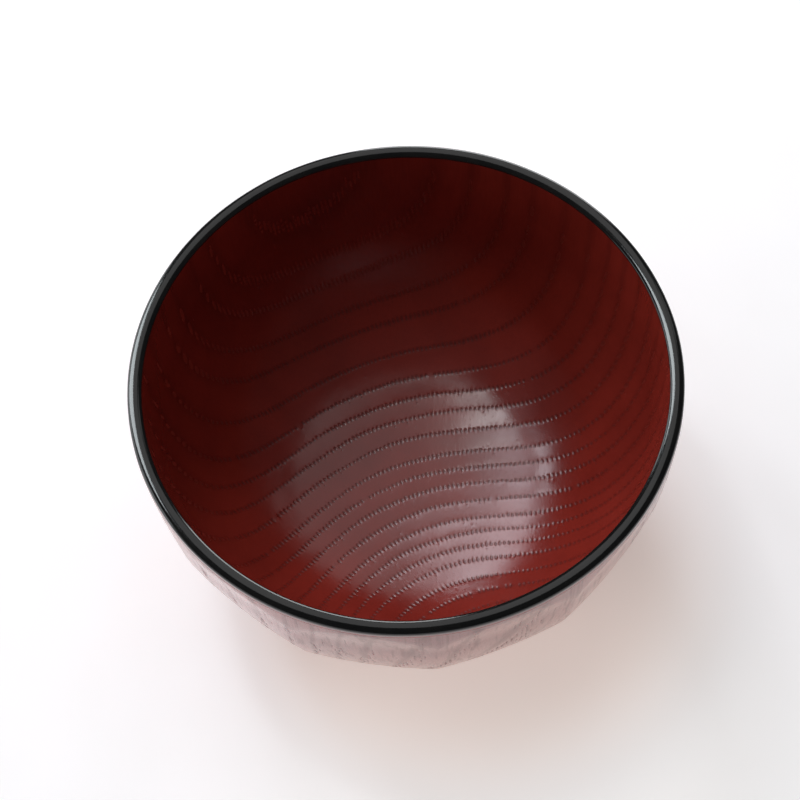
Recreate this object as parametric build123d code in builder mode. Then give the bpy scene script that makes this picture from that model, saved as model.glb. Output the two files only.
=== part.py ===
from build123d import *
import os
from math import cos, radians, sin, tan

os.makedirs("parts", exist_ok=True)

# Turned and hand-faceted wooden rice bowl, lacquered.
# Origin: centre of the circle on which the foot ring stands.  +Z up, -Y is the front.
# Millimetres and degrees.  Profile points are (radius, height); slopes are above horizontal.

# ---------------------------------------------------------------- driving dimensions
rim_diameter = 120.0        # over the lacquer, across the lip
height = 66.0               # table to the top of the lip
coat = 0.35                 # lacquer build, drawn thick enough to be a piece of its own

# lip
lip_width = 3.05            # across the black lip
lip_inner_round = 0.55      # rounding of its inner edge
lip_outer_round = 1.2       # rounding of its outer edge
black_outside = 2.3         # the black lacquer reaches this far down outside
black_inside = 1.1          # and this far down inside

# inner curve, from the centre of the floor up to the lip: tangent arcs, each given by its
# radius and the slope at its far end; the two radii marked None close the run
floor_height = 13.0
inner_arcs = [(130.0, 12.0), (34.5, 48.0), (None, 80.5), (None, 90.0)]

# outer curve, from the foot up to the lip, in the same way
foot_joint = (30.8, 8.6)    # where the outer curve leaves the foot
joint_slope = 15.0
outer_arcs = [(34.35, 63.7), (None, 80.6), (None, 90.0)]

# facets; a negative radius bends the curve the other way
facet_count = 12
facet_phase = 17.4          # direction of the first facet centre, from -Y towards +X
facet_axis = 55.0           # a facet is part of a larger round whose axis lies this far behind
facet_foot = (30.42, 8.72)  # lower end of a facet at its centre
facet_foot_slope = 16.0
facet_point = (59.0, 57.0)  # from here the facet runs straight up into the band
facet_arcs = [(34.15, 63.7), (None, 79.7), (None, 84.8), (-60.0, 80.0)]
facet_top_gap = 0.2         # the facet cutter stops this far below the black lacquer

# facet cutter, outside the facet surface
cutter_half_sweep = 17.0    # it turns this far to each side of the facet centre
cutter_clearance = 9.0      # it reaches this far beyond the rim
cutter_corner_height = 30.0  # lower end of its upright outer side
cutter_ledge = 14.0         # width of its flat underside

# foot ring
foot_radius = 30.0          # outside of the foot ring on the table
foot_taper = 6.5            # lean of its outer side
foot_hollow_radius = 24.6   # inside of the foot ring on the table
foot_hollow_floor = 23.0    # radius of the flat recess
foot_hollow_depth = 5.2     # recess under the bowl
foot_edge = 0.32            # rounding of the two edges of the standing face

# lacquer blanks: they reach into the wood, which is then cut away from them
outer_blank_depth = 2.0     # depth of the outer blank behind its surface
outer_blank_step = 1.0      # its lower inner corner lies this far inside that depth
recess_blank_depth = 1.5    # depth of the foot blank above the recess
joint_blank_width = 3.0     # width of the foot blank at the foot joint

rim_radius = rim_diameter / 2
inner_rim_radius = rim_radius - lip_width
inner_top = height - black_inside
curve_top = height - black_outside


# ---------------------------------------------------------------- profile helpers
def arc_step(start_slope, end_slope):
    """Offset from start to end of an arc of radius 1, slopes in radians."""
    return sin(end_slope) - sin(start_slope), cos(start_slope) - cos(end_slope)


def closed_run(start, start_slope, arcs, end):
    """Solve the two open radii so that the run of tangent arcs ends exactly at end."""
    need_x, need_z = end[0] - start[0], end[1] - start[1]
    open_steps = []
    slope = radians(start_slope)
    for radius, end_slope in arcs:
        next_slope = radians(end_slope)
        step = arc_step(slope, next_slope)
        if radius is None:
            open_steps.append(step)
        else:
            need_x -= radius * step[0]
            need_z -= radius * step[1]
        slope = next_slope
    (first_x, first_z), (second_x, second_z) = open_steps
    determinant = first_x * second_z - second_x * first_z
    solved = iter((
        (need_x * second_z - second_x * need_z) / determinant,
        (first_x * need_z - need_x * first_z) / determinant,
    ))
    return [(next(solved) if radius is None else radius, to) for radius, to in arcs]


def arc_points(start, start_slope, arcs, side=0.0):
    """Start, middle and end of every arc of a run, moved sideways to its right by side."""
    slope = radians(start_slope)
    x, z = start[0] + side * sin(slope), start[1] - side * cos(slope)
    points = []
    for radius, end_slope in arcs:
        next_slope = radians(end_slope)
        moved_radius = radius + side
        middle, end = (
            (x + moved_radius * step_x, z + moved_radius * step_z)
            for step_x, step_z in (
                arc_step(slope, (slope + next_slope) / 2),
                arc_step(slope, next_slope),
            )
        )
        points.append(((x, z), middle, end))
        (x, z), slope = end, next_slope
    return points


def lip_points(inset):
    """Corners of the lip section, from the inner face over the top to the outer face."""
    top = height - inset
    return [
        (inner_rim_radius + inset, inner_top),
        (inner_rim_radius + inset, height - lip_inner_round),
        (inner_rim_radius + lip_inner_round, top),
        (rim_radius - lip_outer_round, top),
        (rim_radius - inset, height - lip_outer_round),
        (rim_radius - inset, curve_top),
    ]


# These two draw into the BuildLine block that is open where they are called.
def draw_arcs(arcs):
    for arc in arcs:
        ThreePointArc(*arc)


def draw_lip(inset):
    corners = lip_points(inset)
    Line(corners[0], corners[1])
    RadiusArc(corners[1], corners[2], lip_inner_round - inset)
    Line(corners[2], corners[3])
    RadiusArc(corners[3], corners[4], lip_outer_round - inset)
    Line(corners[4], corners[5])


# ---------------------------------------------------------------- curves
inner_start = (0.0, floor_height)
inner_run = closed_run(inner_start, 0.0, inner_arcs, (inner_rim_radius, inner_top))
outer_run = closed_run(foot_joint, joint_slope, outer_arcs, (rim_radius, curve_top))
facet_run = closed_run(facet_foot, facet_foot_slope, facet_arcs, facet_point)

# The cove between foot and body: one arc tangent to both.  Their tangents meet at
# cove_corner, and the arc ends lie cove_reach away from it.
lean = radians(foot_taper)
body_slope = radians(joint_slope)
cove_reach = (foot_joint[0] - foot_radius + tan(lean) * foot_joint[1]) / (
    cos(body_slope) + tan(lean) * sin(body_slope)
)
cove_corner = (
    foot_joint[0] - cove_reach * cos(body_slope),
    foot_joint[1] - cove_reach * sin(body_slope),
)
cove_foot = (
    cove_corner[0] + cove_reach * sin(lean),
    cove_corner[1] - cove_reach * cos(lean),
)
cove_slope = 90 + foot_taper
cove_radius = cove_reach / tan(radians(cove_slope - joint_slope) / 2)
cove_run = [(-cove_radius, joint_slope)]

# lacquer surfaces, and the wood surfaces one coat behind them
coat_inner = arc_points(inner_start, 0.0, inner_run)
wood_inner = arc_points(inner_start, 0.0, inner_run, coat)
coat_outer = arc_points(foot_joint, joint_slope, outer_run)
wood_outer = arc_points(foot_joint, joint_slope, outer_run, -coat)
coat_cove = arc_points(cove_foot, cove_slope, cove_run)
wood_cove = arc_points(cove_foot, cove_slope, cove_run, -coat)


# ---------------------------------------------------------------- facet cutter
def facet_tool(inset):
    """Everything outside one facet whose centre points along +X: a sector of a large ring
    about its own upright axis.  inset moves the facet into the wood."""
    axis_origin = (-facet_axis, 0, 0)
    sweep = radians(cutter_half_sweep)
    along = (cos(sweep), -sin(sweep), 0)
    plane = Plane(origin=axis_origin, x_dir=along, z_dir=(along[1], -along[0], 0))
    arcs = [
        [(x + facet_axis, z) for x, z in arc]
        for arc in arc_points(facet_foot, facet_foot_slope, facet_run, -inset)
    ]
    low, high = arcs[0][0], arcs[-1][2]
    top_height = curve_top - facet_top_gap
    top_slope = radians(facet_run[-1][1])
    top = (high[0] + (top_height - high[1]) / tan(top_slope), top_height)
    outside = rim_radius + facet_axis + cutter_clearance
    with BuildPart() as tool:
        with BuildSketch(plane):
            with BuildLine():
                draw_arcs(arcs)
                Polyline(
                    high,
                    top,
                    (outside, top_height),
                    (outside, cutter_corner_height),
                    (low[0] + cutter_ledge, low[1]),
                    low,
                )
            make_face()
        revolve(axis=Axis(axis_origin, (0, 0, 1)), revolution_arc=2 * cutter_half_sweep)
    return tool.part


def cut_facets(tool):
    """Cut the ring of facets from the BuildPart that is open where this is called."""
    for i in range(facet_count):
        angle = -90 + facet_phase + i * 360 / facet_count
        add(tool, rotation=(0, 0, angle), mode=Mode.SUBTRACT)


# ---------------------------------------------------------------- pieces
def make_wood_body():
    """One turned blank: bowl wall, floor and foot ring in a single piece of wood."""
    facet = facet_tool(coat)
    cove_start = wood_cove[0][0]
    recess_height = foot_hollow_depth + coat
    with BuildPart() as body:
        with BuildSketch(Plane.XZ):
            with BuildLine():
                draw_arcs(wood_inner)
                draw_lip(coat)
                draw_arcs(wood_outer)
                draw_arcs(wood_cove)
                Polyline(
                    cove_start,
                    (cove_start[0] + (cove_start[1] - coat) * tan(lean), coat),
                    (foot_hollow_radius + coat, coat),
                    (foot_hollow_floor, recess_height),
                    (0, recess_height),
                    (0, floor_height - coat),
                )
            make_face()
        revolve(axis=Axis.Z)
        cut_facets(facet)
    return body.part


def make_interior_lacquer():
    """Lacquer over the inner curve, up to the black lip."""
    with BuildPart() as lacquer:
        with BuildSketch(Plane.XZ):
            with BuildLine():
                draw_arcs(coat_inner + wood_inner)
                Line((0, floor_height), (0, floor_height - coat))
                Line((inner_rim_radius + coat, inner_top), (inner_rim_radius, inner_top))
            make_face()
        revolve(axis=Axis.Z)
    return lacquer.part


def make_rim_lacquer():
    """Black lacquer over the lip."""
    skin, wood = lip_points(0.0), lip_points(coat)
    with BuildPart() as lacquer:
        with BuildSketch(Plane.XZ):
            with BuildLine():
                draw_lip(0.0)
                draw_lip(coat)
                Line(skin[0], wood[0])
                Line(skin[5], wood[5])
            make_face()
        revolve(axis=Axis.Z)
    return lacquer.part


def make_exterior_lacquer(wood):
    """Lacquer over the turned band under the lip and the facets, down to the foot."""
    facet = facet_tool(0.0)
    core = arc_points(foot_joint, joint_slope, outer_run, -outer_blank_depth)
    core_low = core[0][0]
    with BuildPart() as lacquer:
        with BuildSketch(Plane.XZ):
            with BuildLine():
                draw_arcs(coat_outer + core)
                Line(coat_outer[-1][2], core[-1][2])
                Polyline(
                    coat_outer[0][0],
                    (core_low[0] - outer_blank_step, foot_joint[1]),
                    core_low,
                )
            make_face()
        revolve(axis=Axis.Z)
        cut_facets(facet)
        add(wood, mode=Mode.SUBTRACT)
    return lacquer.part


def make_foot_lacquer(wood):
    """Lacquer over the foot ring and the recess inside it."""
    blank_top = foot_hollow_depth + recess_blank_depth
    with BuildPart() as lacquer:
        with BuildSketch(Plane.XZ):
            with BuildLine():
                draw_arcs(coat_cove)
                Polyline(
                    cove_foot,
                    (foot_radius, 0),
                    (foot_hollow_radius, 0),
                    (foot_hollow_floor, foot_hollow_depth),
                    (0, foot_hollow_depth),
                    (0, blank_top),
                    (foot_hollow_radius, blank_top),
                    (foot_joint[0] - joint_blank_width, foot_joint[1]),
                    foot_joint,
                )
            make_face()
        revolve(axis=Axis.Z)
        add(wood, mode=Mode.SUBTRACT)
        standing_edges = lacquer.edges().filter_by(GeomType.CIRCLE).group_by(Axis.Z)[0]
        fillet(standing_edges, foot_edge)
    return lacquer.part


wood_body = make_wood_body()
pieces = {
    "wood_body": wood_body,
    "interior_lacquer": make_interior_lacquer(),
    "rim_lacquer": make_rim_lacquer(),
    "exterior_lacquer": make_exterior_lacquer(wood_body),
    "foot_lacquer": make_foot_lacquer(wood_body),
}
for name, piece in pieces.items():
    piece.label = name
    export_step(piece, f"parts/{name}.step")
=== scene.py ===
"""A turned and faceted wooden bowl in red lacquer with a black lip, on a pale table.

The bowl stands on z = 0 with its axis on Z. Sections and pores are worked out in mm;
add_mesh turns them into metres. Materials, table, lights and camera are in metres.
A section is a curve of radius and height, followed by its length from the bottom up.
"""
import math
from collections import namedtuple

import bpy
import numpy as np
from mathutils import Matrix, Vector
from mathutils.geometry import delaunay_2d_cdt


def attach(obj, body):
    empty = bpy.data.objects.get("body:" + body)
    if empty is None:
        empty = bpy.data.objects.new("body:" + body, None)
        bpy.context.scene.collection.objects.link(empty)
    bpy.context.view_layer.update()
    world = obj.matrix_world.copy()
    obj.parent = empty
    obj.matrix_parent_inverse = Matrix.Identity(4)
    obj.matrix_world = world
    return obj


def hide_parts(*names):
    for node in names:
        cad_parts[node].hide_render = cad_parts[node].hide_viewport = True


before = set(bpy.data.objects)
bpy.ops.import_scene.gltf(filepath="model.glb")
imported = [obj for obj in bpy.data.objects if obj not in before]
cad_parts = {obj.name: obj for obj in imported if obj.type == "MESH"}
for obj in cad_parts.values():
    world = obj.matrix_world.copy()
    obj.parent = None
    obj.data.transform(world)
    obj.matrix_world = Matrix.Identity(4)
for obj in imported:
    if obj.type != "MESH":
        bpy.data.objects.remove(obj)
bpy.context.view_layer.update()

MM = 0.001
TAU = math.tau
RNG = np.random.default_rng(20480)

# ------------------------------------------------------------------ driving sizes (mm, degrees)
RIM_R = 60.0
HEIGHT = 66.0
COAT = 0.35  # thickness of the lacquer pieces
INNER_R = 56.95
INNER_TOP = 64.9  # where the inside meets the lip
OUTER_TOP = 63.7  # where the outside meets the lip
FLOOR_Z = 13.0
JOINT = (30.8, 8.6)  # where the outside meets the foot
JOINT_HEADING = 15.0

FACETS = 12
FACET_AXIS = 55.0  # a facet is an arc round a point this far behind the bowl's axis
FACET_STEP = TAU / FACETS
FIRST_FACET = math.radians(-90.0 + 17.4)  # middle of the first facet, from +X
FIRST_CREASE = FIRST_FACET + FACET_STEP / 2
FACET_END = (59.0, 57.0)  # above it the facet section runs straight on
FACET_END_HEADING = 80.0


# ------------------------------------------------------------------ section curves
def solve_arcs(start, heading, arcs, end):
    """Fills in the two open radii (None) so that the run of tangent arcs ends at end."""
    need_r, need_z = end[0] - start[0], end[1] - start[1]
    open_steps = []
    here = math.radians(heading)
    for radius, target in arcs:
        there = math.radians(target)
        step = (math.sin(there) - math.sin(here), math.cos(here) - math.cos(there))
        if radius is None:
            open_steps.append(step)
        else:
            need_r, need_z = need_r - radius * step[0], need_z - radius * step[1]
        here = there
    (first_r, first_z), (second_r, second_z) = open_steps
    det = first_r * second_z - second_r * first_z
    solved = iter(((need_r * second_z - second_r * need_z) / det,
                   (first_r * need_z - need_r * first_z) / det))
    return [(next(solved) if radius is None else radius, target) for radius, target in arcs]


class Curve:
    """A run of tangent arcs (radius, heading at its end), sampled.

    Headings are degrees up from level; a negative radius turns back down.
    """

    def __init__(self, start, heading, arcs, end=None, samples=160):
        if end is not None:
            arcs = solve_arcs(start, heading, arcs, end)
        x, y = start
        here = math.radians(heading)
        rows = [(x, y, here)]
        for radius, target in arcs:
            there = math.radians(target)
            for k in range(1, samples + 1):
                turn = here + (there - here) * k / samples
                rows.append((x + radius * (math.sin(turn) - math.sin(here)),
                             y + radius * (math.cos(here) - math.cos(turn)), turn))
            x, y, here = rows[-1]
        self.radius, self.height, self.heading = np.array(rows).T
        steps = np.hypot(np.diff(self.radius), np.diff(self.height))
        self.length = np.r_[0.0, np.cumsum(steps)]
        self.total = float(self.length[-1])

    def radius_at(self, length):
        return np.interp(length, self.length, self.radius)

    def height_at(self, length):
        return np.interp(length, self.length, self.height)

    def heading_at(self, length):
        return np.interp(length, self.length, self.heading)

    def length_at(self, radius):
        return np.interp(radius, self.radius, self.length)


INNER = Curve((0.0, FLOOR_Z), 0.0, [(130.0, 12.0), (34.5, 48.0), (None, 80.5), (None, 90.0)],
              end=(INNER_R, INNER_TOP))
OUTER = Curve(JOINT, JOINT_HEADING, [(34.35, 63.7), (None, 80.6), (None, 90.0)],
              end=(RIM_R, OUTER_TOP))
FACET = Curve((30.42, 8.72), 16.0,
              [(34.15, 63.7), (None, 79.7), (None, 84.8), (-60.0, FACET_END_HEADING)],
              end=FACET_END)
facet_run_on = (OUTER_TOP - FACET_END[1]) / math.tan(math.radians(FACET_END_HEADING))
FACET_RADII = np.r_[FACET.radius, FACET_END[0] + facet_run_on]
FACET_HEIGHTS = np.r_[FACET.height, OUTER_TOP]


def facet_radius(angle, height):
    """Radius of the faceted surface; angle in radians from +X."""
    reach = np.interp(height, FACET_HEIGHTS, FACET_RADII) + FACET_AXIS
    off = (angle - FIRST_FACET + FACET_STEP / 2) % FACET_STEP - FACET_STEP / 2
    return -FACET_AXIS * np.cos(off) + np.sqrt(reach * reach - (FACET_AXIS * np.sin(off)) ** 2)


def outside_radius(angle, length):
    """Radius of the outside at a length up the turned curve: turned surface or facet."""
    turned = OUTER.radius_at(length)
    z = OUTER.height_at(length)
    fade = np.clip(length / 1.6, 0, 1)
    fade = fade * fade * (3 - 2 * fade)
    cut = np.maximum(turned - facet_radius(angle, z), 0.0) * fade
    # hand planing: the facets are not dead true
    wave = 0.03 * np.sin(5 * angle + 0.09 * z) + 0.02 * np.sin(11 * angle - 0.13 * z + 1.0)
    cut = np.where(cut > 0, np.maximum(cut + wave * np.clip(cut / 0.5, 0, 1), 0.0), 0.0)
    return turned - cut


# ------------------------------------------------------------------ growth rings
# The fibre stands upright, so a ring is the same curve at every height.
# A polynomial of x and y (in units of 60 mm) numbers the rings; pores follow its level lines.
# Coefficients of x^i y^(power - i), for power 0 to 6 and i 0 to power.
RING_COEFFICIENTS = [
    7.2847,
    13.6863, -3.5333,
    -0.2712, 5.1985, 9.4959,
    -3.8557, -1.8436, -7.0192, -0.9381,
    2.5715, -3.7789, -3.3806, -3.738, -9.6946,
    -0.6829, 2.0827, 1.8149, -1.3367, 3.9581, 1.2106,
    0.2633, -0.1009, 0.2235, -0.0755, 0.1507, 0.6474, 1.1638,
]
# value of the polynomial on each pore line
RING_LEVELS = [-1.25, -0.66, 0.0, 0.71, 1.68, 2.49, 3.34, 4.22, 5.34, 6.45, 7.46, 8.46, 9.77,
               10.92, 11.93, 12.96, 14.23, 15.56, 16.41, 17.35, 18.0, 18.65, 19.25]
LINE_LIMIT = 60.2  # radius in plan where the pore lines stop


def ring_field(x, y):
    x = np.asarray(x) / 60.0
    y = np.asarray(y) / 60.0
    total = np.zeros(np.broadcast(x, y).shape)
    k = 0
    for power in range(7):
        for i in range(power + 1):
            total = total + RING_COEFFICIENTS[k] * x ** i * y ** (power - i)
            k += 1
    return total


def plan_gradient(field, x, y, step):
    return ((field(x + step, y) - field(x - step, y)) / (2 * step),
            (field(x, y + step) - field(x, y - step)) / (2 * step))


def ring_number(x, y):
    """Ring count with a whole number on every pore line."""
    value = ring_field(x, y)
    levels = np.array(RING_LEVELS)
    number = np.interp(value, levels, range(len(levels)))
    number = np.where(value < levels[0], (value - levels[0]) / 0.6, number)
    beyond = len(levels) - 1 + (value - levels[-1]) / 0.6
    return np.where(value > levels[-1], beyond, number)


def line_start(level):
    """A point on a pore line, looked for along a few lines of constant x."""
    for x in (12.0, -14.0, 30.0, -30.0):
        y = np.linspace(-LINE_LIMIT, LINE_LIMIT, 1201)
        y = y[np.hypot(x, y) < LINE_LIMIT]
        offset = ring_field(np.full_like(y, x), y) - level
        crossings = np.where(np.diff(np.sign(offset)) != 0)[0]
        if len(crossings):
            return x, y[crossings[-1 if level > 9 else 0]]
    return None


def trace_line(start, level, way, step=0.2):
    """Follows a level line one way, pulling each step back onto the line."""
    x, y = start
    points = [(x, y)]
    for _ in range(900):
        grad_x, grad_y = plan_gradient(ring_field, x, y, 1e-3)
        steepness = math.hypot(grad_x, grad_y)
        if steepness < 0.03:
            break
        x += way * step * grad_y / steepness
        y -= way * step * grad_x / steepness
        error = float(ring_field(x, y)) - level
        grad_x, grad_y = plan_gradient(ring_field, x, y, 1e-3)
        square = grad_x * grad_x + grad_y * grad_y + 1e-9
        x -= error * grad_x / square
        y -= error * grad_y / square
        if math.hypot(x, y) > LINE_LIMIT:
            break
        points.append((x, y))
    return points


def ring_lines():
    """Each pore line as an ordered polyline in plan."""
    lines = []
    for level in RING_LEVELS:
        start = line_start(level)
        if start is None:
            continue
        ahead, behind = (trace_line(start, level, way) for way in (1.0, -1.0))
        lines.append(np.array(behind[::-1] + ahead[1:]))
    return lines


LINES = ring_lines()


# ------------------------------------------------------------------ pores
def line_pores(pitch, half_along, half_across, extra):
    """Pores in plan, side by side along the lines; extra is the chance of a small one beside.

    Each pore: x, y, half width along the line, half width across it, direction of the line.
    """
    pores = []
    for line in LINES:
        if len(line) < 8:
            continue
        run = np.r_[0.0, np.cumsum(np.hypot(*np.diff(line, axis=0).T))]
        tangent = np.gradient(line, axis=0)
        tangent /= np.linalg.norm(tangent, axis=1)[:, None] + 1e-12
        phase_1, phase_2 = RNG.uniform(0, 6.28, 2)
        at = RNG.uniform(0, pitch)
        while at < run[-1]:
            swell = 1.0 + 0.12 * math.sin(at / 7.3 + phase_1) + 0.06 * math.sin(at / 2.9 + phase_2)
            x, y = np.interp(at, run, line[:, 0]), np.interp(at, run, line[:, 1])
            dir_x, dir_y = np.interp(at, run, tangent[:, 0]), np.interp(at, run, tangent[:, 1])
            direction = math.atan2(dir_y, dir_x)
            size = swell * RNG.uniform(0.9, 1.08)
            if RNG.random() < 0.985:
                off = RNG.normal(0, 0.06) + 0.08 * math.sin(at / 4.1 + phase_2)
                pores.append((x - dir_y * off, y + dir_x * off, half_along * min(size, 1.06),
                              half_across * size * RNG.uniform(0.9, 1.12),
                              direction + 0.12 + RNG.normal(0, 0.1)))
            if RNG.random() < extra:
                off = -(half_across + 0.3) * size
                pores.append((x - dir_y * off, y + dir_x * off, 0.2, 0.24, direction))
            at += pitch * RNG.uniform(0.95, 1.06)
    return pores


# A pore on the surface: its place (angle, length, radius), plan half widths, the line's turn
# from outward, its stretch up the wall, and its half widths round and up the wall.
Pit = namedtuple("Pit", "angle length radius half_along half_across turn stretch "
                        "half_round half_up")


def place_pores(pores, curve, radius_range, length_range, cap, skip=None):
    """Pores on the surface. An upright vessel is cut into a long groove by a steep wall.

    cap limits the half length of a groove; skip(angle, half_round, radius) leaves pores out.
    """
    pits, kept = [], []
    bottom, top = length_range
    for x, y, half_along, half_across, direction in pores:
        radius = math.hypot(x, y)
        if not radius_range[0] < radius < radius_range[1]:
            continue
        length = curve.length_at(radius)
        if not bottom < length < top:
            continue
        if kept:
            others = np.array(kept)
            gaps = np.hypot(others[:, 0] - x, others[:, 1] - y) - others[:, 2]
            if gaps.min() < half_along * 0.97:
                continue
        angle = math.atan2(y, x)
        turn = direction - angle
        cos, sin = math.cos(turn), math.sin(turn)
        outward = math.sqrt((half_along * cos) ** 2 + (half_across * sin) ** 2)
        half_round = math.sqrt((half_along * sin) ** 2 + (half_across * cos) ** 2)
        limit = cap * (0.7 + 0.6 * abs(math.sin(37.1 * x + 11.3 * y))) / outward
        stretch = max(1.0, min(1 / max(math.cos(curve.heading_at(length)), 1e-3), limit))
        half_up = outward * stretch
        if length + half_up > top - 0.4 or (length - half_up < bottom + 0.4 and bottom > 0):
            continue
        radius = curve.radius_at(length)
        if skip is not None and skip(angle, half_round, radius):
            continue
        kept.append((x, y, half_along * 0.97))
        pits.append(Pit(angle, length, radius, half_along, half_across, turn, stretch,
                        half_round, half_up))
    return pits


def pit_point(pit, bearing, share, depth, steepness, pore):
    """One point of a pit, at a share of its outline: a row of the unrolled mesh."""
    along = share * pit.half_along * math.cos(bearing)
    across = share * pit.half_across * math.sin(bearing)
    cos, sin = math.cos(pit.turn), math.sin(pit.turn)
    outward, around = along * cos - across * sin, along * sin + across * cos
    grad_along = math.cos(bearing) / pit.half_along
    grad_across = math.sin(bearing) / pit.half_across
    grad_out = grad_along * cos - grad_across * sin
    grad_round = grad_along * sin + grad_across * cos
    if pit.radius < 6.0:
        # near the axis the floor is taken as flat
        cos, sin = math.cos(pit.angle), math.sin(pit.angle)
        x = pit.radius * cos + outward * cos - around * sin
        y = pit.radius * sin + outward * sin + around * cos
        place = (math.atan2(y, x), math.hypot(x, y))
    else:
        place = (pit.angle + around / pit.radius, pit.length + outward * pit.stretch)
    return (*place, depth, pore, steepness * grad_round, steepness * grad_out / pit.stretch)


def unrolled(angle, length, hub):
    """The unrolled plane: a disc with the length outwards from a hub."""
    return (hub + length) * np.cos(angle), (hub + length) * np.sin(angle)


def unroll_mesh(base, base_edges, pits, hub, depth_share):
    """Triangulates base points (angle, length) and pits in the unrolled plane.

    Gives angle, length, depth, pore share, height gradients round and up the wall, triangles.
    """
    angle, length = base[:, 0].copy(), base[:, 1].copy()
    alive = np.ones(len(base), bool)
    order = np.argsort(length, kind="stable")
    ordered = length[order]
    # base points under a pit make way for it
    for pit in pits:
        low, high = np.searchsorted(ordered, (pit.length - pit.half_up - 0.35,
                                              pit.length + pit.half_up + 0.35))
        near = order[low:high]
        swing = (angle[near] - pit.angle + math.pi) % TAU - math.pi
        inside = ((swing * pit.radius / (pit.half_round + 0.16)) ** 2
                  + ((length[near] - pit.length) / (pit.half_up + 0.3)) ** 2)
        alive[near[inside < 1.0]] = False
    renumber = -np.ones(len(base), np.int64)
    renumber[alive] = np.arange(alive.sum())
    rows = [(*place, 0.0, 0.0, 0.0, 0.0) for place in zip(angle[alive], length[alive])]
    edges = [(int(renumber[i]), int(renumber[j])) for i, j in base_edges if alive[i] and alive[j]]

    for pit in pits:
        depth = depth_share * pit.half_along
        count = 11 if pit.stretch < 1.8 else (12 if pit.stretch < 4 else 14)
        first = len(rows)
        for i in range(count):
            rows.append(pit_point(pit, TAU * (i + 0.5) / count, share=1.0, depth=0.0,
                                  steepness=0.22 * depth, pore=0.0))
        edges += [(first + i, first + (i + 1) % count) for i in range(count)]
        for i in range(8):
            rows.append(pit_point(pit, TAU * i / 8, share=0.62, depth=0.62 * depth,
                                  steepness=depth, pore=0.75))
        rows.append(pit_point(pit, 0.0, share=0.0, depth=depth, steepness=0.0, pore=1.0))
    rows = np.array(rows)
    flat_x, flat_y = unrolled(rows[:, 0], rows[:, 1], hub)
    points, _, faces, origins, _, _ = delaunay_2d_cdt(
        [Vector((float(x), float(y))) for x, y in zip(flat_x, flat_y)], edges, [], 0, 1e-5)
    pick = np.array([origin[0] if len(origin) else -1 for origin in origins])
    for i in np.where(pick < 0)[0]:
        # a crossing made a new point: give it the values of its nearest neighbour
        distance = (flat_x - points[i][0]) ** 2 + (flat_y - points[i][1]) ** 2
        pick[i] = int(np.argmin(distance))
    triangles = np.array([face for face in faces if len(face) == 3], dtype=np.int64)
    return (*rows[pick].T, triangles)


# ------------------------------------------------------------------ mesh helpers
def add_object(name, data):
    piece = bpy.data.objects.new(name, data)
    bpy.context.scene.collection.objects.link(piece)
    return piece


def add_mesh(name, points, faces, corner_uv, attributes, normals=None):
    """A smooth mesh from points in mm, with one UV pair per face corner."""
    mesh = bpy.data.meshes.new(name)
    mesh.from_pydata((np.asarray(points, dtype=np.float64) * MM).tolist(), [], faces)
    for key, values in attributes.items():
        attribute = mesh.attributes.new(key, "FLOAT", "POINT")
        attribute.data.foreach_set("value", np.asarray(values, dtype=np.float32))
    layer = mesh.uv_layers.new(name="OFBake")
    layer.data.foreach_set("uv", np.asarray(corner_uv, dtype=np.float32).ravel())
    mesh.polygons.foreach_set("use_smooth", [True] * len(mesh.polygons))
    mesh.update()
    if normals is not None:
        mesh.normals_split_custom_set_from_vertices(normals.tolist())
        mesh.update()
    return add_object(name, mesh)


def lathe(name, section, columns, wobble, uv_rows, attributes_of=None):
    """Turns a closed section (radius, z) round the axis; the UV map stacks it in rows."""
    section = np.asarray(section, dtype=float)
    count = len(section)
    on_axis = section[:, 0] < 1e-6
    points, index = [], np.zeros((columns, count), dtype=np.int64)
    for i in range(columns):
        angle = TAU * i / columns
        for j, (radius, z) in enumerate(section):
            if on_axis[j] and i > 0:
                index[i, j] = index[0, j]
                continue
            radius_off, z_off = wobble(angle, radius, z)
            index[i, j] = len(points)
            points.append(((radius + radius_off) * math.cos(angle),
                           (radius + radius_off) * math.sin(angle), z + z_off))
    steps = np.diff(np.vstack([section, section[:1]]), axis=0)
    run = np.r_[0.0, np.cumsum(np.hypot(*steps.T))]
    run /= run[-1]
    faces, corner_uv = [], []
    for i in range(columns):
        k = (i + 1) % columns
        row, left = divmod(i * uv_rows / columns, 1.0)
        right = left + uv_rows / columns
        for j in range(count):
            after = (j + 1) % count
            if on_axis[j] and on_axis[after]:
                continue
            corners = {}  # a corner shared on the axis counts once
            for vertex, across, up in ((index[i, j], left, run[j]), (index[k, j], right, run[j]),
                                       (index[k, after], right, run[j + 1]),
                                       (index[i, after], left, run[j + 1])):
                corners.setdefault(int(vertex), (0.01 + 0.98 * across,
                                                 (row + 0.03 + 0.94 * up) / uv_rows))
            faces.append(list(corners))
            corner_uv.extend(corners.values())
    attributes = attributes_of(np.array(points)) if attributes_of else {}
    return add_mesh(name, points, faces, corner_uv, attributes)


def unit(vectors):
    return vectors / np.linalg.norm(vectors, axis=1)[:, None]


def lean(normals, around, along, grad_round, grad_up):
    """Leans normals by the height gradients round and up the wall."""
    return unit(normals - grad_round[:, None] * around - grad_up[:, None] * along)


def polar_gradient(field, x, y, angle):
    """Gradients of field(x, y) outwards and round."""
    grad_x, grad_y = plan_gradient(field, x, y, 0.04)
    return (grad_x * np.cos(angle) + grad_y * np.sin(angle),
            -grad_x * np.sin(angle) + grad_y * np.cos(angle))


def edge_loop(mask, angle, first=0.0):
    """The masked vertices in order round the axis."""
    found = np.where(mask)[0]
    return found[np.argsort((angle[found] - first) % TAU)].tolist()


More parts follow.
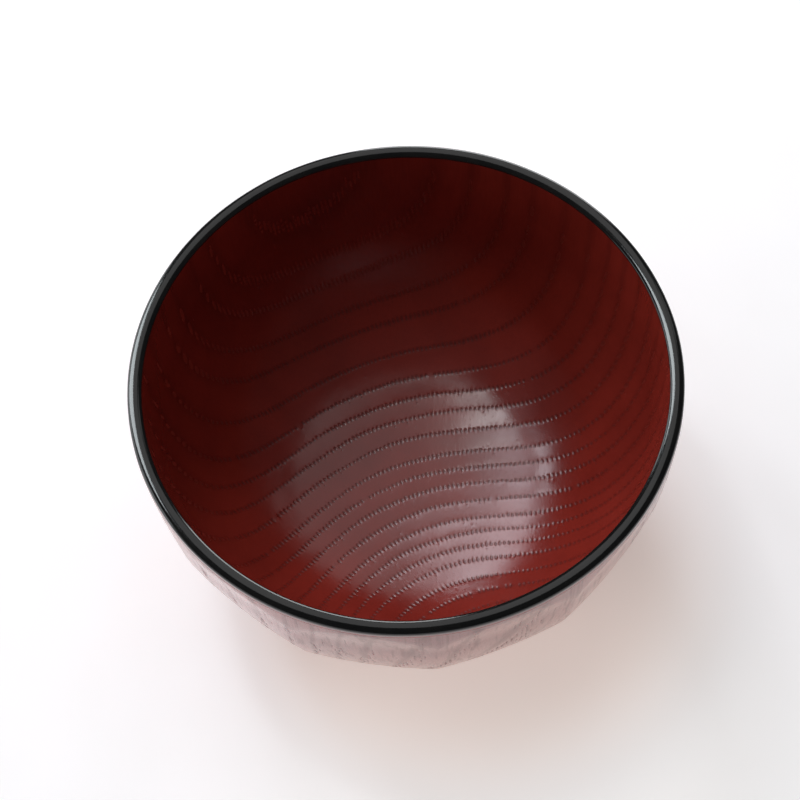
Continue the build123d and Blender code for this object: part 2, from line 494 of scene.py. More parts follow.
def bridge(upper, lower):
    """Quads between two closed loops of the same count."""
    return [[upper[(i + 1) % len(upper)], upper[i], lower[i], lower[(i + 1) % len(upper)]]
            for i in range(len(upper))]


def disc_uv(angle, share, centre=0.5, reach=0.495):
    return np.c_[centre + reach * share * np.cos(angle), centre + reach * share * np.sin(angle)]


BACK_UV = {"centre": 0.07, "reach": 0.068}  # small disc in a corner of the UV map


def coat_back(curve, radius_at, angle, rows, last_row, side, hub):
    """Back of a coat, from the top row down; side is 1 for a back outside it, -1 for inside.

    Gives points, normals and UVs.
    """
    points, normals, uvs = [], [], []
    flat = np.ones(len(angle))
    for row in range(rows, last_row - 1, -1):
        length = curve.total * row / rows
        heading = float(curve.heading_at(length))
        sin, cos = side * math.sin(heading), side * math.cos(heading)
        radius = radius_at(angle, length) + COAT * sin
        z = curve.height_at(length) - COAT * cos
        points.append(np.c_[radius * np.cos(angle), radius * np.sin(angle), z * flat])
        normals.append(np.c_[sin * np.cos(angle), sin * np.sin(angle), -cos * flat])
        uvs.append(disc_uv(angle, (hub + length) / (hub + curve.total), **BACK_UV))
    return np.vstack(points), np.vstack(normals), np.vstack(uvs)


def back_faces(top, first, rows):
    """Bands from the top edge down the back; also gives the back's last loop."""
    faces, upper = [], top
    for row in range(rows):
        start = first + row * len(top)
        lower = list(range(start, start + len(top)))
        faces += bridge(upper, lower)
        upper = lower
    return faces, upper


def add_coat(name, front, back, faces, pore, ring):
    """A coat from its front and back, each as points, normals and UVs."""
    points, normals, uv = (np.vstack(pair) for pair in zip(front, back))
    plain = np.zeros(len(back[0]))
    corner_uv = uv[[vertex for face in faces for vertex in face]]
    attributes = {"pore": np.r_[pore, plain], "ring": np.r_[ring, plain + 0.5]}
    return add_mesh(name, points, faces, corner_uv, attributes, normals)


# ------------------------------------------------------------------ inside of the bowl
RIM_COLUMNS = 720
INNER_BACK_ROWS = 22


def inner_base():
    """Rings of staggered points up the inside, and the edges of the top ring."""
    rows = int(round(INNER.total / 0.95))
    base = [(0.0, 0.0)]
    for row in range(1, rows + 1):
        length = INNER.total * row / rows
        count, shift = RIM_COLUMNS, 0.0
        if row < rows:
            count = max(6, int(round(TAU * float(INNER.radius_at(length)) / 0.98)))
            shift = 0.5 if row % 2 else 0.0
        base += [(TAU * (i + shift) / count, length) for i in range(count)]
    first = len(base) - RIM_COLUMNS
    edges = [(first + i, first + (i + 1) % RIM_COLUMNS) for i in range(RIM_COLUMNS)]
    return np.array(base), edges


def inner_relief(x, y):
    """Height of the wood between pore lines: each line lies in a shallow trough."""
    near = 0.5 + 0.5 * np.cos(TAU * ring_number(x, y))
    return -0.020 * near + 0.010 * np.sin(x * 0.21 + 1.3) * np.sin(y * 0.17 - 0.4)


def build_inside():
    pores = line_pores(pitch=1.04, half_along=0.465, half_across=0.77, extra=0.05)
    for _ in range(90):
        radius, bearing = 56.5 * math.sqrt(RNG.random()), RNG.uniform(0, TAU)
        size = RNG.uniform(0.08, 0.13)
        pores.append((radius * math.cos(bearing), radius * math.sin(bearing), size, size, 0.0))
    pits = place_pores(pores, INNER, radius_range=(0.0, 56.9),
                       length_range=(0.0, INNER.total - 0.6), cap=2.6)
    base, edges = inner_base()
    angle, length, depth, pore, grad_round, grad_up, triangles = unroll_mesh(
        base, edges, pits, hub=0.0, depth_share=0.27)

    radius, heading = INNER.radius_at(length), INNER.heading_at(length)
    cos, sin = np.cos(angle), np.sin(angle)
    x, y = radius * cos, radius * sin
    fade = np.clip((INNER.total - length) / 3.0, 0, 1)
    height = inner_relief(x, y) * fade - depth
    raised = radius - np.sin(heading) * height
    points = np.c_[raised * cos, raised * sin,
                   INNER.height_at(length) + np.cos(heading) * height]
    relief_out, relief_round = polar_gradient(inner_relief, x, y, angle)
    outward = np.c_[cos, sin, np.zeros(len(angle))]
    around = np.c_[-sin, cos, np.zeros(len(angle))]
    upward = np.array([[0.0, 0.0, 1.0]])
    level, steep = np.cos(heading)[:, None], np.sin(heading)[:, None]
    normals = lean(level * upward - steep * outward, around, level * outward + steep * upward,
                   grad_round + fade * relief_round,
                   grad_up + fade * relief_out * np.cos(heading))

    top = edge_loop(length > INNER.total - 1e-3, angle)
    back = coat_back(INNER, lambda _, at: INNER.radius_at(at), angle[top], INNER_BACK_ROWS,
                     last_row=1, side=1, hub=0.0)
    centre = ((0.0, 0.0, FLOOR_Z - COAT), (0.0, 0.0, -1.0), (BACK_UV["centre"],) * 2)
    back = [np.vstack(pair) for pair in zip(back, centre)]
    bands, last = back_faces(top, len(points), INNER_BACK_ROWS)
    middle = len(points) + len(back[0]) - 1
    fan = [[last[(i + 1) % len(last)], last[i], middle] for i in range(len(last))]
    return add_coat("bowl_interior", (points, normals, disc_uv(angle, length / INNER.total)),
                    back, triangles.tolist() + bands + fan, pore, ring_number(x, y))


# ------------------------------------------------------------------ outside of the bowl
HUB = 22.0  # radius of the hole in the unrolled outside, over the foot
ROWS_LOW, ROWS_HIGH = 42, 6  # rows on a facet and on the turned band above it
OUTER_BACK_ROWS = 26
# places of the columns across one facet, closer by the creases
COLUMN_SHARES = np.r_[0.0, 0.006, 0.018, np.linspace(0.04, 0.96, 21), 0.982, 0.994]


def facet_end(angle):
    """Length up the outside where a facet ends and the turned band begins."""
    length = np.linspace(OUTER.total - 0.3, 12.0, 500)
    cut = OUTER.radius_at(length) - facet_radius(angle, OUTER.height_at(length))
    hit = np.where(cut > 0.0)[0]
    return float(length[hit[0]]) if len(hit) else 12.0


def outer_base():
    """Columns of points up the outside, their edges, and the number of columns."""
    columns = np.concatenate([FIRST_CREASE + FACET_STEP * (k + COLUMN_SHARES)
                              for k in range(FACETS)])
    lengths = []
    for angle in columns:
        end = facet_end(angle)
        low = end * np.linspace(0, 1, ROWS_LOW + 1) ** 0.97
        low[-2] = end - 0.3
        high = end + (OUTER.total - end) * np.linspace(0, 1, ROWS_HIGH + 1)[1:]
        high[0] = min(end + 0.3, high[0])
        lengths.append(np.r_[low, high])
    lengths = np.array(lengths)
    index = np.arange(lengths.size).reshape(lengths.shape)
    edges = []
    for i in range(len(columns)):
        k = (i + 1) % len(columns)
        for j in (0, ROWS_LOW, ROWS_LOW + ROWS_HIGH):
            edges.append((index[i, j], index[k, j]))
        if i % len(COLUMN_SHARES) == 0:
            edges += [(index[i, j], index[i, j + 1]) for j in range(ROWS_LOW)]
    base = np.c_[np.repeat(columns, lengths.shape[1]), lengths.ravel()]
    return base, edges, len(columns)


def near_crease(angle, half_round, radius):
    off = (angle - FIRST_CREASE) % FACET_STEP
    return min(off, FACET_STEP - off) * radius < half_round + 0.32


def outer_pores():
    """Pores along the lines and small scattered ones, denser near the lines."""
    pores = line_pores(pitch=1.05, half_along=0.30, half_across=0.44, extra=0.35)
    for _ in range(2200):
        radius = float(OUTER.radius_at(RNG.uniform(2.0, OUTER.total - 1.0)))
        angle = RNG.uniform(0, TAU)
        x, y = radius * math.cos(angle), radius * math.sin(angle)
        near = 0.5 + 0.5 * math.cos(TAU * float(ring_number(x, y)))
        if RNG.random() < 0.12 + 0.7 * near ** 2:
            size = RNG.uniform(0.11, 0.21)
            pores.append((x, y, size, size, 0.0))
    return pores


def on_outside(angle, length):
    radius = outside_radius(angle, length)
    return np.c_[radius * np.cos(angle), radius * np.sin(angle), OUTER.height_at(length)]


def outer_relief(x, y):
    return -0.03 * (0.5 + 0.5 * np.cos(TAU * ring_number(x, y)))


def build_outside():
    base, edges, columns = outer_base()
    pits = place_pores(outer_pores(), OUTER, radius_range=(31.2, 59.97),
                       length_range=(0.8, OUTER.total - 0.5), cap=5.0, skip=near_crease)
    angle, length, depth, pore, grad_round, grad_up, triangles = unroll_mesh(
        base, edges, pits, hub=HUB, depth_share=0.46)
    # the hole in the middle of the plane stays open
    flat_x, flat_y = unrolled(angle, length, HUB)
    middle = np.hypot(flat_x[triangles].mean(1), flat_y[triangles].mean(1))
    triangles = triangles[middle > HUB * math.cos(math.pi / columns) * 0.999 + 0.02]
    triangles = triangles[~(length[triangles] < 1e-4).all(1)]

    radius = outside_radius(angle, length)
    x, y = radius * np.cos(angle), radius * np.sin(angle)
    fade = np.clip(np.minimum(OUTER.total - length, length) / 2.0, 0, 1)
    # the surface's own directions, by differences
    step_up = np.minimum(0.8, np.minimum(length, OUTER.total - length) + 1e-3)
    step_round = 0.8 / radius
    along = unit(on_outside(angle, length + step_up) - on_outside(angle, length - step_up))
    around = unit(on_outside(angle + step_round, length) - on_outside(angle - step_round, length))
    normals = unit(np.cross(around, along))
    height = outer_relief(x, y) * fade - depth
    points = on_outside(angle, length) + height[:, None] * normals
    relief_out, relief_round = polar_gradient(outer_relief, x, y, angle)
    slope_out = fade * relief_out * np.cos(OUTER.heading_at(length))
    normals = lean(normals, around, along, grad_round + fade * relief_round, grad_up + slope_out)

    top = edge_loop(length > OUTER.total - 1e-4, angle, FIRST_CREASE)
    low = edge_loop(length < 1e-4, angle, FIRST_CREASE)
    back = coat_back(OUTER, outside_radius, angle[top], OUTER_BACK_ROWS,
                     last_row=0, side=-1, hub=HUB)
    bands, last = back_faces(top, len(points), OUTER_BACK_ROWS + 1)
    faces = [face[::-1] for face in triangles.tolist() + bands + bridge(last, low)]
    uv = disc_uv(angle, (HUB + length) / (HUB + OUTER.total))
    return add_coat("bowl_exterior", (points, normals, uv), back, faces, pore, ring_number(x, y))


# ------------------------------------------------------------------ black lip
LIP_PROUD = 0.05  # the black coat laps over the red one and ends in a small rounded step
LIP_STEP_R = 0.07
LIP_TOP = HEIGHT - 0.035
# soft inner shoulder, gently domed top, rounder outer edge; each arc starts where the last
# one ends: radius, bearing at its end, segments
LIP_ARCS = [(0.30, 132.0, 5), (1.9, 112.0, 8), (2.6, 68.0, 12), (0.9, 0.0, 14)]


def arc(centre_r, centre_z, radius, start, end, count):
    bearings = [math.radians(start + (end - start) * k / count) for k in range(count + 1)]
    return [(centre_r + radius * math.cos(bearing), centre_z + radius * math.sin(bearing))
            for bearing in bearings]


def lip_top():
    """The lip from shoulder to outer edge, fitted to its width; also its starting height."""
    path, bearing = [(0.0, 0.0)], 180.0
    for radius, end, count in LIP_ARCS:
        start_r, start_z = path[-1]
        cos, sin = math.cos(math.radians(bearing)), math.sin(math.radians(bearing))
        for k in range(1, count + 1):
            turn = math.radians(bearing + (end - bearing) * k / count)
            path.append((start_r + radius * (math.cos(turn) - cos),
                         start_z + radius * (math.sin(turn) - sin)))
        bearing = end
    path = path[1:]
    high = max(z for _, z in path)
    fit = (RIM_R - INNER_R + LIP_PROUD) / max(radius for radius, _ in path)
    fitted = [(INNER_R - LIP_PROUD + fit * radius, LIP_TOP + fit * (z - high))
              for radius, z in path]
    return fitted, LIP_TOP - fit * high


def lip_wobble(angle, radius, z):
    share = min(1.0, max(0.0, (z - 63.9) / 1.0))
    return (0.014 * share * math.sin(7 * angle + 0.6) + 0.008 * share * math.sin(17 * angle),
            0.010 * share * math.sin(5 * angle + 2.0)
            + 0.006 * share * math.sin(13 * angle + 1.0) - 0.016 * share)


def build_lip():
    path, first_z = lip_top()
    skin = [(INNER_R + COAT, INNER_TOP)]
    skin += arc(INNER_R + 0.02, INNER_TOP + LIP_STEP_R, LIP_STEP_R, 250, 180, 3)
    skin += [(INNER_R - LIP_PROUD, z) for z in np.linspace(INNER_TOP + 0.16, first_z, 4)]
    skin += path
    skin += [(RIM_R, z) for z in np.linspace(path[-1][1] - 0.15, OUTER_TOP + 0.14, 6)]
    skin += arc(RIM_R - 0.03, OUTER_TOP + LIP_STEP_R, LIP_STEP_R, 0, -80, 3)
    back = [(RIM_R - COAT, OUTER_TOP)]
    back += arc(RIM_R - 1.2, HEIGHT - 1.2, 1.2 - COAT, 2, 88, 6)
    back += arc(INNER_R + 0.55, HEIGHT - 0.55, 0.2, 92, 178, 4)
    return lathe("bowl_lip", (skin + back)[::-1], columns=960, wobble=lip_wobble, uv_rows=6)


# ------------------------------------------------------------------ foot
FOOT_R = 30.0  # outer radius, were the wall run down to z = 0
FOOT_LEAN = 6.5  # degrees the outer wall leans in
FOOT_INNER_R = 24.6
FOOT_EDGE_R = 0.32
RECESS_R = 23.0
RECESS_TOP = 5.2


def foot_cove():
    """The hollow between foot and bowl: its lower end, then its points up to the joint."""
    wall, slope = math.radians(FOOT_LEAN), math.radians(JOINT_HEADING)
    reach = ((JOINT[0] - FOOT_R + math.tan(wall) * JOINT[1])
             / (math.cos(slope) + math.tan(wall) * math.sin(slope)))
    corner = (JOINT[0] - reach * math.cos(slope), JOINT[1] - reach * math.sin(slope))
    start = (corner[0] + reach * math.sin(wall), corner[1] - reach * math.cos(wall))
    radius = reach / math.tan(math.radians(90 + FOOT_LEAN - JOINT_HEADING) / 2)
    curve = Curve(start, 90 + FOOT_LEAN, [(-radius, JOINT_HEADING)], samples=18)
    return start, list(zip(curve.radius, curve.height))


def foot_wobble(angle, radius, z):
    if z < 0.05 and 25 < radius < 29.5:
        return 0.0, 0.0  # the standing face stays flat and true
    return 0.01 * math.sin(9 * angle + 0.4), 0.0


def foot_attributes(points):
    return {"pore": np.zeros(len(points)), "ring": ring_number(points[:, 0], points[:, 1])}


def build_foot():
    start, cove = foot_cove()
    slant = math.tan(math.radians(FOOT_LEAN))
    slope = math.radians(JOINT_HEADING)
    skin = [(0.0, RECESS_TOP)]
    skin += [(radius, RECESS_TOP) for radius in np.linspace(2, 21.9, 12)]
    skin += [(22.5, 5.17), (22.85, 5.0), (RECESS_R, 4.75)]
    skin += [(FOOT_INNER_R - 1.6 * k, RECESS_TOP * k) for k in np.linspace(0.85, 0.09, 8)]
    skin += arc(FOOT_INNER_R + 0.34, FOOT_EDGE_R, FOOT_EDGE_R, 195, 268, 6)
    skin += [(radius, 0.0) for radius in np.linspace(25.3, 29.3, 7)]
    skin += arc(FOOT_R - 0.36, FOOT_EDGE_R, FOOT_EDGE_R, 275, 352, 6)
    skin += [(FOOT_R - slant * z, z) for z in np.linspace(0.7, start[1] - 0.2, 7)]
    skin += cove
    back = [(JOINT[0] - COAT * math.sin(slope), JOINT[1] + COAT * math.cos(slope))]
    back += [(radius - COAT, z + COAT * 0.3) for radius, z in cove[::-3][1:]]
    back += [(FOOT_R - COAT - slant * z, z) for z in (4.5, 2.5, 0.8, COAT)]
    back += [(25.0, COAT)]
    back += [(radius, RECESS_TOP + COAT) for radius in (RECESS_R + COAT, 12.0, 0.0)]
    return lathe("bowl_foot", skin + back, columns=480, wobble=foot_wobble, uv_rows=4,
                 attributes_of=foot_attributes)


inside = build_inside()
outside = build_outside()
lip = build_lip()
stand = build_foot()


# ------------------------------------------------------------------ shader helpers
class Shader:
    """Adds nodes to one node tree; an input may be a value or another node's socket."""

    def __init__(self, tree):
        self.tree = tree
        tree.nodes.clear()

    def feed(self, node, inputs):
        for key, value in inputs.items():
            if isinstance(value, bpy.types.NodeSocket):
                self.tree.links.new(value, node.inputs[key])
            else:
                node.inputs[key].default_value = value

    def add(self, kind, inputs=None, **settings):
        node = self.tree.nodes.new("ShaderNode" + kind)
        for key, value in settings.items():
            setattr(node, key, value)
        self.feed(node, inputs or {})
        return node

    def math(self, operation, *values, clamp=False):
        inputs = dict(enumerate(values))
        return self.add("Math", inputs, operation=operation, use_clamp=clamp).outputs[0]

    def times(self, first, second):
        return self.math("MULTIPLY", first, second)

    def plus(self, first, second):
        return self.math("ADD", first, second)

    def minus(self, first, second):
        return self.math("SUBTRACT", first, second)

    def remap(self, value, span, to=(0.0, 1.0), smooth=False):
        inputs = {0: value, 1: span[0], 2: span[1], 3: to[0], 4: to[1]}
        kind = "SMOOTHSTEP" if smooth else "LINEAR"
        return self.add("MapRange", inputs, interpolation_type=kind).outputs[0]

    def mix(self, factor, first, second):
        return self.add("Mix", {0: factor, 6: first, 7: second}, data_type="RGBA").outputs[2]

    def place(self):
        return self.add("TexCoord").outputs["Object"]

    def noise(self, vector, scale, detail, roughness=0.5):
        inputs = {"Vector": vector, "Scale": scale, "Detail": detail, "Roughness": roughness}
        return self.add("TexNoise", inputs).outputs["Fac"]

    def upright(self, vector, z_scale, location=(0.0, 0.0, 0.0)):
        """Coordinates that draw a texture out along Z."""
        inputs = {"Vector": vector, "Scale": (1.0, 1.0, z_scale), "Location": location}
        return self.add("Mapping", inputs).outputs[0]

    def attribute(self, name):
        return self.add("Attribute", attribute_name=name).outputs["Fac"]

    def axes(self, vector):
        return self.add("SeparateXYZ", {0: vector}).outputs

    def distance(self, vector, point):
        inputs = {0: vector, 1: point}
        return self.add("VectorMath", inputs, operation="DISTANCE").outputs["Value"]

    def bump(self, height, strength, distance, **more):
        inputs = {"Strength": strength, "Distance": distance, "Height": height, **more}
        return self.add("Bump", inputs).outputs[0]


def new_material(name):
    material = bpy.data.materials.new(name)
    material.use_nodes = True
    shader = Shader(material.node_tree)
    surface = shader.add("BsdfPrincipled")
    shader.add("OutputMaterial", {0: surface.outputs[0]})
    return material, shader, surface


def tinted(color, *factors):
    return (*(channel * factor for channel, factor in zip(color, factors)), 1.0)


# ------------------------------------------------------------------ materials
def red_lacquer(name, deep, bright, roughness, fibre_strength, fibre_depth,
                streaks=0.0, coat=0.0):
    """Red lacquer over open grain; streaks darkens upright streaks and thins a clear coat."""
    material, shader, surface = new_material(name)
    mix, remap, times = shader.mix, shader.remap, shader.times
    place = shader.place()
    pore = shader.attribute("pore")
    ring_part = shader.math("FRACT", shader.attribute("ring"))
    to_line = shader.math("MINIMUM", ring_part, shader.minus(1.0, ring_part))
    line = remap(to_line, span=(0.02, 0.16), to=(1.0, 0.0), smooth=True)
    line_color = tinted(deep, 0.42, 0.5, 0.6)

    # cloudy red with fine upright fibre
    drawn = shader.upright(place, z_scale=0.03)
    fibre = shader.noise(drawn, scale=2300.0, detail=2.0, roughness=0.6)
    cloud = shader.noise(place, scale=38.0, detail=3.0, roughness=0.55)
    base = mix(remap(cloud, span=(0.32, 0.68)), deep, bright)
    base = mix(times(remap(fibre, span=(0.35, 0.75)), 0.22), base, tinted(deep, 0.45, 0.4, 0.4))
    if streaks:
        streak = shader.noise(shader.upright(place, z_scale=0.022),
                              scale=1150.0, detail=1.5, roughness=0.6)
        streak = remap(streak, span=(0.50, 0.68), smooth=True)
        breaks = shader.noise(place, scale=210.0, detail=1.0)
        breaks = remap(breaks, span=(0.36, 0.56), to=(0.6, 1.0))
        streak = shader.math("MAXIMUM", streak, times(line, 0.8))
        streak = shader.math("MULTIPLY", streak, breaks, clamp=True)
        base = mix(times(streak, streaks), base, tinted(deep, 0.35, 0.5, 0.5))
        weight = times(coat, shader.minus(1.0, times(streak, 0.4)))
        shader.feed(surface, {"Coat Weight": weight})
    base = mix(times(line, 0.14), base, line_color)

    # painted light in the pores: a painted highlight towards -X, painted shade towards +X
    upward = shader.axes(shader.add("NewGeometry").outputs["True Normal"])[2]
    # side: high towards -X for the painted highlight, low towards +X for painted shade
    side = remap(shader.axes(place)[0], span=(-0.02, 0.03), to=(1.0, 0.3), smooth=True)
    if streaks:
        # outside: no painted highlight, the pores are only darker
        painted_highlight_peak, pore_dark_and_painted_shade = 0.0, 0.3
    else:
        painted_highlight_peak = 0.5
        # darker pores on level ground, and painted shade on them towards +X
        pore_dark_and_painted_shade = shader.math("MAXIMUM", remap(upward, span=(0.45, 0.85), to=(0.0, 0.5)),
                            times(shader.minus(1.0, side), 0.35))
        # a broad dark band along each pore line, on the steep wall only
        band = times(remap(to_line, span=(0.0, 0.34), to=(1.0, 0.0), smooth=True),
                     remap(upward, span=(0.4, 0.8), to=(0.32, 0.0)))
        grain = remap(fibre, span=(0.25, 0.7), to=(0.55, 1.0))
        base = mix(times(band, grain), base, line_color)
    # painted highlight in the pores on steep walls, strongest towards -X
    painted_pore_highlight = times(remap(upward, span=(0.25, 0.7), to=(painted_highlight_peak, 0.0)), side)
    base = mix(times(pore, painted_pore_highlight), base, tinted(bright, 1.7, 2.0, 2.0))
    base = mix(times(pore, pore_dark_and_painted_shade), base, tinted(deep, 0.2, 0.3, 0.35))

    smear = shader.noise(place, scale=120.0, detail=4.0, roughness=0.6)
    rough = remap(smear, span=(0.3, 0.7), to=(roughness - 0.025, roughness + 0.035))
    rough = shader.plus(rough, times(line, 0.03))
    rough = shader.plus(rough, times(pore, 0.06))

    vessel_inputs = {"Vector": drawn, "Scale": 1500.0, "Randomness": 1.0}
    vessel = shader.add("TexVoronoi", vessel_inputs).outputs["Distance"]
    vessel = remap(vessel, span=(0.10, 0.30), to=(1.0, 0.0), smooth=True)
    relief = shader.bump(shader.plus(times(fibre, 0.35), times(vessel, -0.6)),
                         strength=fibre_strength, distance=fibre_depth)
    orange_peel = shader.noise(place, scale=420.0, detail=1.0)
    relief = shader.bump(orange_peel, strength=0.35, distance=0.00003, Normal=relief)
    shader.feed(surface, {"Base Color": base, "Roughness": rough, "Normal": relief,
                          "IOR": 1.5, "Coat Roughness": 0.2})
    return material


def black_lacquer():
    material, shader, surface = new_material("black_lacquer")
    remap, times = shader.remap, shader.times
    place = shader.place()
    cloud = shader.noise(place, scale=90.0, detail=4.0, roughness=0.6)
    black = shader.mix(remap(cloud, span=(0.3, 0.7)),
                       (0.0085, 0.0090, 0.0095, 1), (0.016, 0.0155, 0.0150, 1))
    # the black thins out on the outer face, where the red under it shows
    x, y, z = shader.axes(place)
    away = shader.math("SQRT", shader.plus(times(x, x), times(y, y)))
    ragged_z = shader.plus(z, times(shader.minus(cloud, 0.5), 0.0006))
    thin = times(remap(ragged_z, span=(0.0652, 0.0638), smooth=True),
                 remap(away, span=(0.0585, 0.0592)))
    rub = shader.noise(place, scale=650.0, detail=3.0, roughness=0.65)
    rough = remap(rub, span=(0.3, 0.75), to=(0.08, 0.15))
    fibre = shader.noise(shader.upright(place, z_scale=0.08), scale=1700.0, detail=2.0)
    shader.feed(surface, {
        "Base Color": shader.mix(thin, black, (0.28, 0.033, 0.024, 1)),
        "Roughness": shader.plus(rough, times(thin, 0.1)),
        "Coat Weight": thin,
        "Coat Roughness": 0.2,
        "Normal": shader.bump(fibre, strength=0.2, distance=0.00003),
        "IOR": 1.5,
    })
    return material


def turned_wood():
    material, shader, surface = new_material("turned_wood")
    drawn = shader.upright(shader.place(), z_scale=0.02, location=(0.03, 0.11, 0.0))
    wave_inputs = {"Vector": drawn, "Scale": 34.0, "Distortion": 2.2, "Detail": 2.0,
                   "Detail Scale": 1.2}
    rings = shader.add("TexWave", wave_inputs, wave_type="RINGS",
                       rings_direction="Z").outputs["Fac"]
    fibre = shader.noise(drawn, scale=2200.0, detail=2.0)
    base = shader.mix(shader.remap(rings, span=(0.1, 0.9)),
                      (0.44, 0.27, 0.13, 1), (0.27, 0.14, 0.06, 1))
    dark = shader.times(shader.remap(fibre, span=(0.4, 0.75)), 0.5)
    shader.feed(surface, {
        "Base Color": shader.mix(dark, base, (0.13, 0.065, 0.03, 1)),
        "Roughness": shader.remap(fibre, span=(0.3, 0.7), to=(0.5, 0.68)),
        "Normal": shader.bump(fibre, strength=0.4, distance=0.0001),
    })
    return material


def table_white_painted_light():
    """Matt white with a painted glow, as the table is no lamp: a painted pool of light ahead
    of the bowl, painted shadow and painted warm bounce light near it, and stronger far away.
    """
    material, shader, surface = new_material("table_white_painted_light")
    remap = shader.remap
    place = shader.place()
    fine = shader.noise(place, scale=60.0, detail=4.0)
    ahead = shader.distance(place, (0.016, -0.069, 0.0))
    under = shader.distance(place, (0.013, -0.013, 0.0))
    # painted pool of light ahead of the bowl, lightening its shadow
    painted_light_pool = remap(ahead, span=(0.030, 0.088), to=(1.0, 0.0), smooth=True)
    # painted shadow close under the bowl
    painted_shadow = remap(under, span=(0.036, 0.058), to=(1.0, 0.0), smooth=True)
    # the glow is painted light, the table being no lamp; it grows far away
    painted_glow = shader.plus(0.325, shader.times(painted_light_pool, 0.215))
    painted_glow = shader.minus(painted_glow, shader.times(painted_shadow, 0.06))
    painted_glow = shader.plus(painted_glow, remap(under, span=(0.6, 2.5), to=(0.0, 0.55), smooth=True))
    # painted warm bounce light from the red bowl, near it
    painted_warm_bounce = remap(under, span=(0.040, 0.070), to=(1.0, 0.0), smooth=True)
    shader.feed(surface, {
        "Base Color": shader.mix(remap(fine, span=(0.35, 0.65)),
                                 (0.86, 0.858, 0.855, 1), (0.875, 0.875, 0.875, 1)),
        "Roughness": 0.75,
        "IOR": 1.3,
        "Emission Color": shader.mix(painted_warm_bounce, (1.0, 0.99, 0.982, 1), (1.0, 0.87, 0.79, 1)),
        "Emission Strength": painted_glow,
    })
    return material


inside_red = red_lacquer(
    "red_lacquer_inside", deep=(0.180, 0.0165, 0.0108, 1), bright=(0.260, 0.0250, 0.0160, 1),
    roughness=0.212, fibre_strength=0.2, fibre_depth=0.00006)
outside_red = red_lacquer(
    "red_lacquer_outside", deep=(0.27, 0.021, 0.013, 1), bright=(0.37, 0.032, 0.020, 1),
    roughness=0.22, fibre_strength=0.5, fibre_depth=0.00014, streaks=0.5, coat=0.88)
foot_red = red_lacquer(
    "foot_lacquer", deep=(0.13, 0.007, 0.005, 1), bright=(0.19, 0.010, 0.007, 1),
    roughness=0.32, fibre_strength=0.5, fibre_depth=0.00014)
lip_black = black_lacquer()

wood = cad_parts["wood_body"]
wood.data.materials.clear()
wood.data.materials.append(turned_wood())

for piece, material, cad_piece, slot in (
        (inside, inside_red, "interior_lacquer", "red_lacquer_inside"),
        (outside, outside_red, "exterior_lacquer", "red_lacquer_outside"),
        (lip, lip_black, "rim_lacquer", "black_lacquer"),
        (stand, foot_red, "foot_lacquer", "foot_lacquer")):
    piece.data.materials.append(material)
    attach(piece, "root")
    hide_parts(cad_piece)


# ------------------------------------------------------------------ table top (m)
def build_table(columns=96, radii=(0.06, 0.12, 0.25, 0.5, 1.0, 2.0, 4.0, 8.0)):
    """A flat disc at z = 0 in rings."""
    points = [(0.0, 0.0, 0.0)]
    for radius in radii:
        for i in range(columns):
            angle = TAU * i / columns
            points.append((radius * math.cos(angle), radius * math.sin(angle), 0.0))
    faces = [(0, 1 + i, 1 + (i + 1) % columns) for i in range(columns)]
    for ring in range(len(radii) - 1):
        inner, outer = 1 + ring * columns, 1 + (ring + 1) * columns
        for i in range(columns):
            k = (i + 1) % columns
            faces.append((inner + i, outer + i, outer + k, inner + k))
    mesh = bpy.data.meshes.new("table_top")
    mesh.from_pydata(points, [], faces)
    mesh.update()
    return add_object("table_top", mesh)


table = build_table()
table.data.materials.append(table_white_painted_light())

# ------------------------------------------------------------------ light
PANEL_AIM = (0, 0, 0.02)
PANEL_DISTANCE = 1.6


def panel(name, azimuth, zenith, wide, high, radiance, color=(1, 1, 1), roll=0.0,
          glossy=True, diffuse=True, only=None):
    """A soft rectangular light round the bowl; only keeps it to the given pieces."""
    azimuth, zenith, roll = (math.radians(value) for value in (azimuth, zenith, roll))
    light = bpy.data.lights.new(name, "AREA")
    light.shape = "RECTANGLE"
    light.size = 2 * PANEL_DISTANCE * math.tan(math.radians(wide / 2))
    light.size_y = 2 * PANEL_DISTANCE * math.tan(math.radians(high / 2))
    light.energy = radiance * math.pi * light.size * light.size_y
    light.color = color
    lamp = add_object(name, light)
    away = Vector((math.sin(zenith) * math.cos(azimuth), math.sin(zenith) * math.sin(azimuth),
                   math.cos(zenith)))
    across = Vector((-math.sin(azimuth), math.cos(azimuth), 0.0))
    up = away.cross(across)
    cos, sin = math.cos(roll), math.sin(roll)
    across, up = across * cos + up * sin, up * cos - across * sin
    matrix = Matrix((across, up, away)).transposed().to_4x4()
    matrix.translation = Vector(PANEL_AIM) + away * PANEL_DISTANCE
    lamp.matrix_world = matrix
    lamp.visible_camera = False
    lamp.visible_glossy = glossy
    lamp.visible_diffuse = diffuse
    if only:
        group = bpy.data.collections.new(name + "_pieces")
        for piece in only:
            group.objects.link(piece)
        lamp.light_linking.receiver_collection = group


ALL_BUT_LIP = (inside, outside, stand, wood, table)
GLINT = {"diffuse": False}  # seen in reflections only
FILL = {"glossy": False}  # not seen in reflections
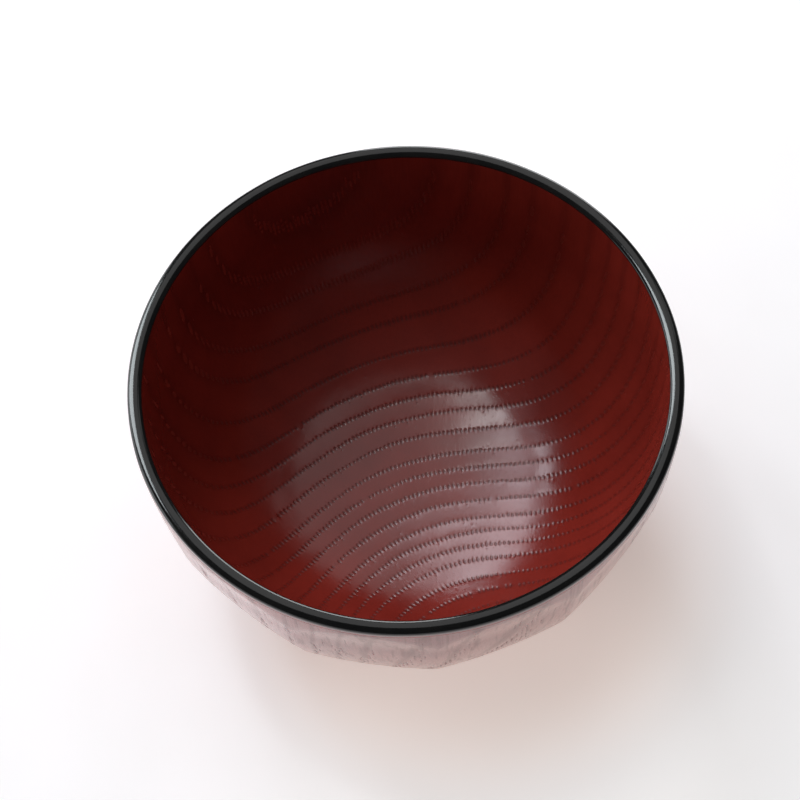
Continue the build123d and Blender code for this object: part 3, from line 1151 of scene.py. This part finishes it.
# name, azimuth from +X and zenith angle seen from the bowl, width and height seen from the
# bowl (all in degrees), radiance, options
PANELS = [
    ("ceiling", 86, 34, 36, 50, 0.95, {}),
    ("window_back", 107, 52, 20, 32, 6.4, {"color": (0.955, 0.96, 1.04), "only": ALL_BUT_LIP}),
    ("window_small", 137, 41.5, 9, 12, 9.8, {"color": (0.95, 0.98, 1.06), "only": ALL_BUT_LIP}),
    ("lamp_strip", 123, 30.7, 2.2, 20, 10.2,
     {"color": (0.93, 0.98, 1.08), "roll": -33, "only": ALL_BUT_LIP}),
    ("lamp_spot", 131.5, 19.5, 4.2, 9.5, 15.0, {"roll": 7, "only": ALL_BUT_LIP}),
    ("window_right", 48.4, 46, 7, 12, 0.9, {"roll": -11}),
    ("window_low", 76, 78.5, 33, 23, 5.2, {"color": (0.97, 0.99, 1.0), **GLINT}),
    ("window_low_left", 156, 76, 62, 22, 2.8, {"color": (0.92, 0.97, 1.0), **GLINT}),
    # the glint along the lip comes from a window of its own
    ("window_lip", 137, 44, 22, 28, 10.5, {"color": (0.90, 0.97, 1.0), "only": (lip,), **GLINT}),
    ("fill_top", 90, 1, 60, 60, 0.25, FILL),
    ("fill_left", 180, 78, 70, 20, 2.1, {"color": (0.97, 0.99, 1.0), **FILL}),
    ("fill_right", 0, 78, 70, 20, 0.8, FILL),
    ("fill_left_high", 170, 45, 40, 40, 0.5, FILL),
]
for *numbers, options in PANELS:
    panel(*numbers, **options)


def build_world():
    """A pale backdrop to the camera, nearly dark to everything else."""
    world = bpy.data.worlds.new("studio")
    bpy.context.scene.world = world
    world.use_nodes = True
    shader = Shader(world.node_tree)
    seen = shader.add("LightPath").outputs["Is Camera Ray"]
    tint = shader.mix(seen, (0.035, 0.035, 0.037, 1), (0.93, 0.93, 0.93, 1))
    background = shader.add("Background", {"Color": tint})
    shader.add("OutputWorld", {0: background.outputs[0]})


build_world()

# ------------------------------------------------------------------ camera and picture
# rows of the rotation matrix; the camera looks down its own -Z
CAMERA_ROTATION = ((0.99723, 0.07441, 0.0),
                   (-0.06546, 0.87726, -0.47554),
                   (-0.03539, 0.47422, 0.87970))
CAMERA_PLACE = (-0.001432, -0.218517, 0.458377)

scene = bpy.context.scene
camera = add_object("camera", bpy.data.cameras.new("camera"))
camera.data.lens = 93.96
camera.data.sensor_width = 36.0
camera.data.clip_start, camera.data.clip_end = 0.01, 50.0
camera_matrix = Matrix(CAMERA_ROTATION).to_4x4()
camera_matrix.translation = Vector(CAMERA_PLACE)
camera.matrix_world = camera_matrix
scene.camera = camera
scene.view_settings.view_transform = "Standard"
scene.view_settings.look = "None"
